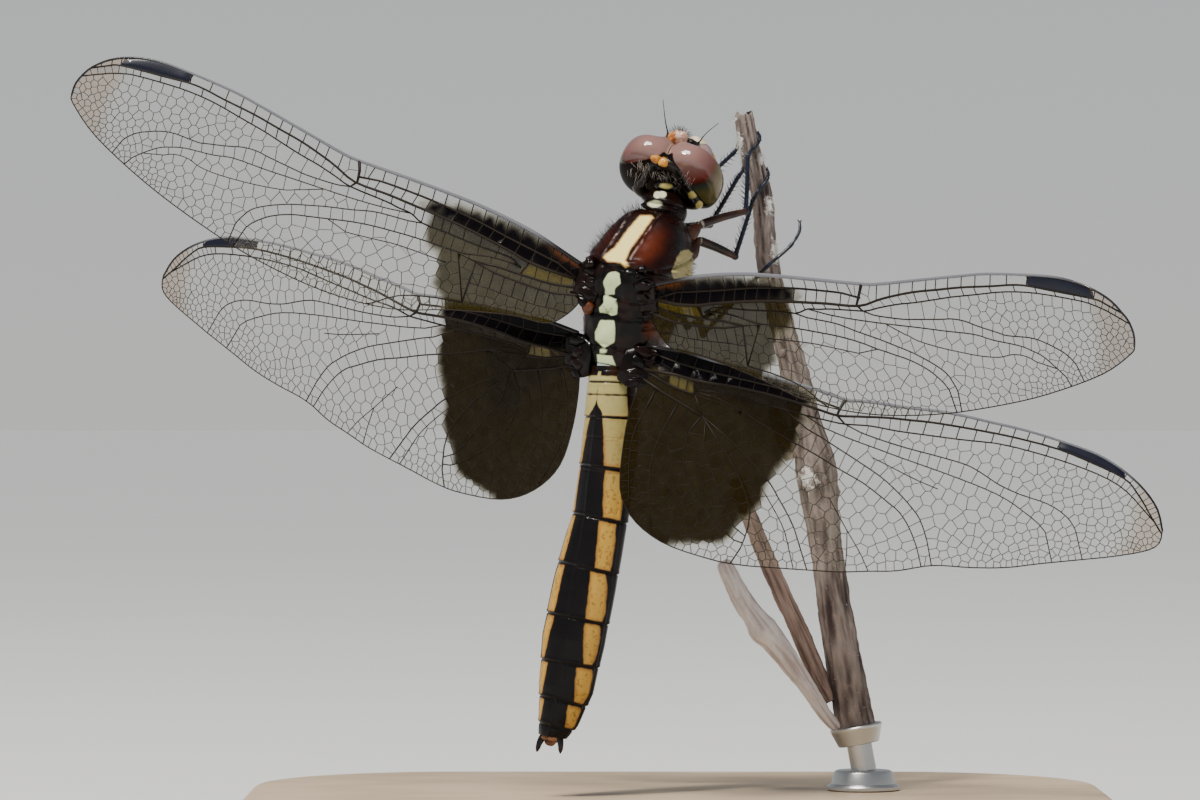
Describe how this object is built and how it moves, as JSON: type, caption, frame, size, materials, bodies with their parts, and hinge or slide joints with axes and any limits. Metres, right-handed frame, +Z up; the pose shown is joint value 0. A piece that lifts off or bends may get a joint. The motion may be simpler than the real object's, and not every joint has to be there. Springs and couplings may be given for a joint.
{
  "type": "widow skimmer dragonfly model on a display stand",
  "caption": "Life-size female widow skimmer dragonfly, wings spread, clinging to a cut length of twig that a steel rod holds above a flat wooden display base.",
  "frame": {"origin": "centre of the stand base's flat underside", "axes": "+Z up; +X towards the dragonfly's right wings, as seen from behind it; -Y towards the viewer, who sees its back; the head is up"},
  "size_m": [0.0765, 0.056, 0.0584],
  "materials": {
    "head": "black chitin, satin gloss",
    "eye": "mauve-brown compound eye, high gloss",
    "antenna": "dark bristle",
    "neck": "dark membrane",
    "prothorax": "dark chitin with pale spots",
    "thorax": "red-brown chitin, satin, with a cream stripe",
    "abdomen": "brown-black chitin with yellow side bands, satin",
    "tail_tip": "dark chitin",
    "wing_membrane": "clear veined membrane with a dark brown patch at the base",
    "femur": "brown-black chitin, satin",
    "shin_and_foot": "blue-black chitin, satin",
    "twig_bark": "dry grey-brown bark",
    "pale_bark": "bleached pale bark",
    "stand_wood": "pale hardwood, clear satin lacquer",
    "stand_steel": "satin steel"
  },
  "bodies": {
    "root": {"abdomen_1": "abdomen", "abdomen_10": "abdomen", "abdomen_2": "abdomen", "abdomen_3": "abdomen", "abdomen_4": "abdomen", "abdomen_5": "abdomen", "abdomen_6": "abdomen", "abdomen_7": "abdomen", "abdomen_8": "abdomen", "abdomen_9": "abdomen", "anal_plate": "tail_tip", "antenna_left": "antenna", "antenna_right": "antenna", "cercus_left": "tail_tip", "cercus_right": "tail_tip", "eye_left": "eye", "eye_right": "eye", "head": "head", "leg_fore_left_femur": "femur", "leg_fore_left_tarsus": "shin_and_foot", "leg_fore_left_tibia": "shin_and_foot", "leg_fore_right_femur": "femur", "leg_fore_right_tarsus": "shin_and_foot", "leg_fore_right_tibia": "shin_and_foot", "leg_hind_left_femur": "femur", "leg_hind_left_tarsus": "shin_and_foot", "leg_hind_left_tibia": "shin_and_foot", "leg_hind_right_femur": "femur", "leg_hind_right_tarsus": "shin_and_foot", "leg_hind_right_tibia": "shin_and_foot", "leg_mid_left_femur": "femur", "leg_mid_left_tarsus": "shin_and_foot", "leg_mid_left_tibia": "shin_and_foot", "leg_mid_right_femur": "femur", "leg_mid_right_tarsus": "shin_and_foot", "leg_mid_right_tibia": "shin_and_foot", "neck": "neck", "perch_shoot_lower": "pale_bark", "perch_shoot_upper": "twig_bark", "perch_stub": "twig_bark", "perch_twig": "twig_bark", "prothorax": "prothorax", "stand_base": "stand_wood", "stand_collar": "stand_steel", "stand_ferrule": "stand_steel", "stand_rod": "stand_steel", "thorax": "thorax", "wing_fore_left": "wing_membrane", "wing_fore_right": "wing_membrane", "wing_hind_left": "wing_membrane", "wing_hind_right": "wing_membrane"}
  },
  "joints": []
}
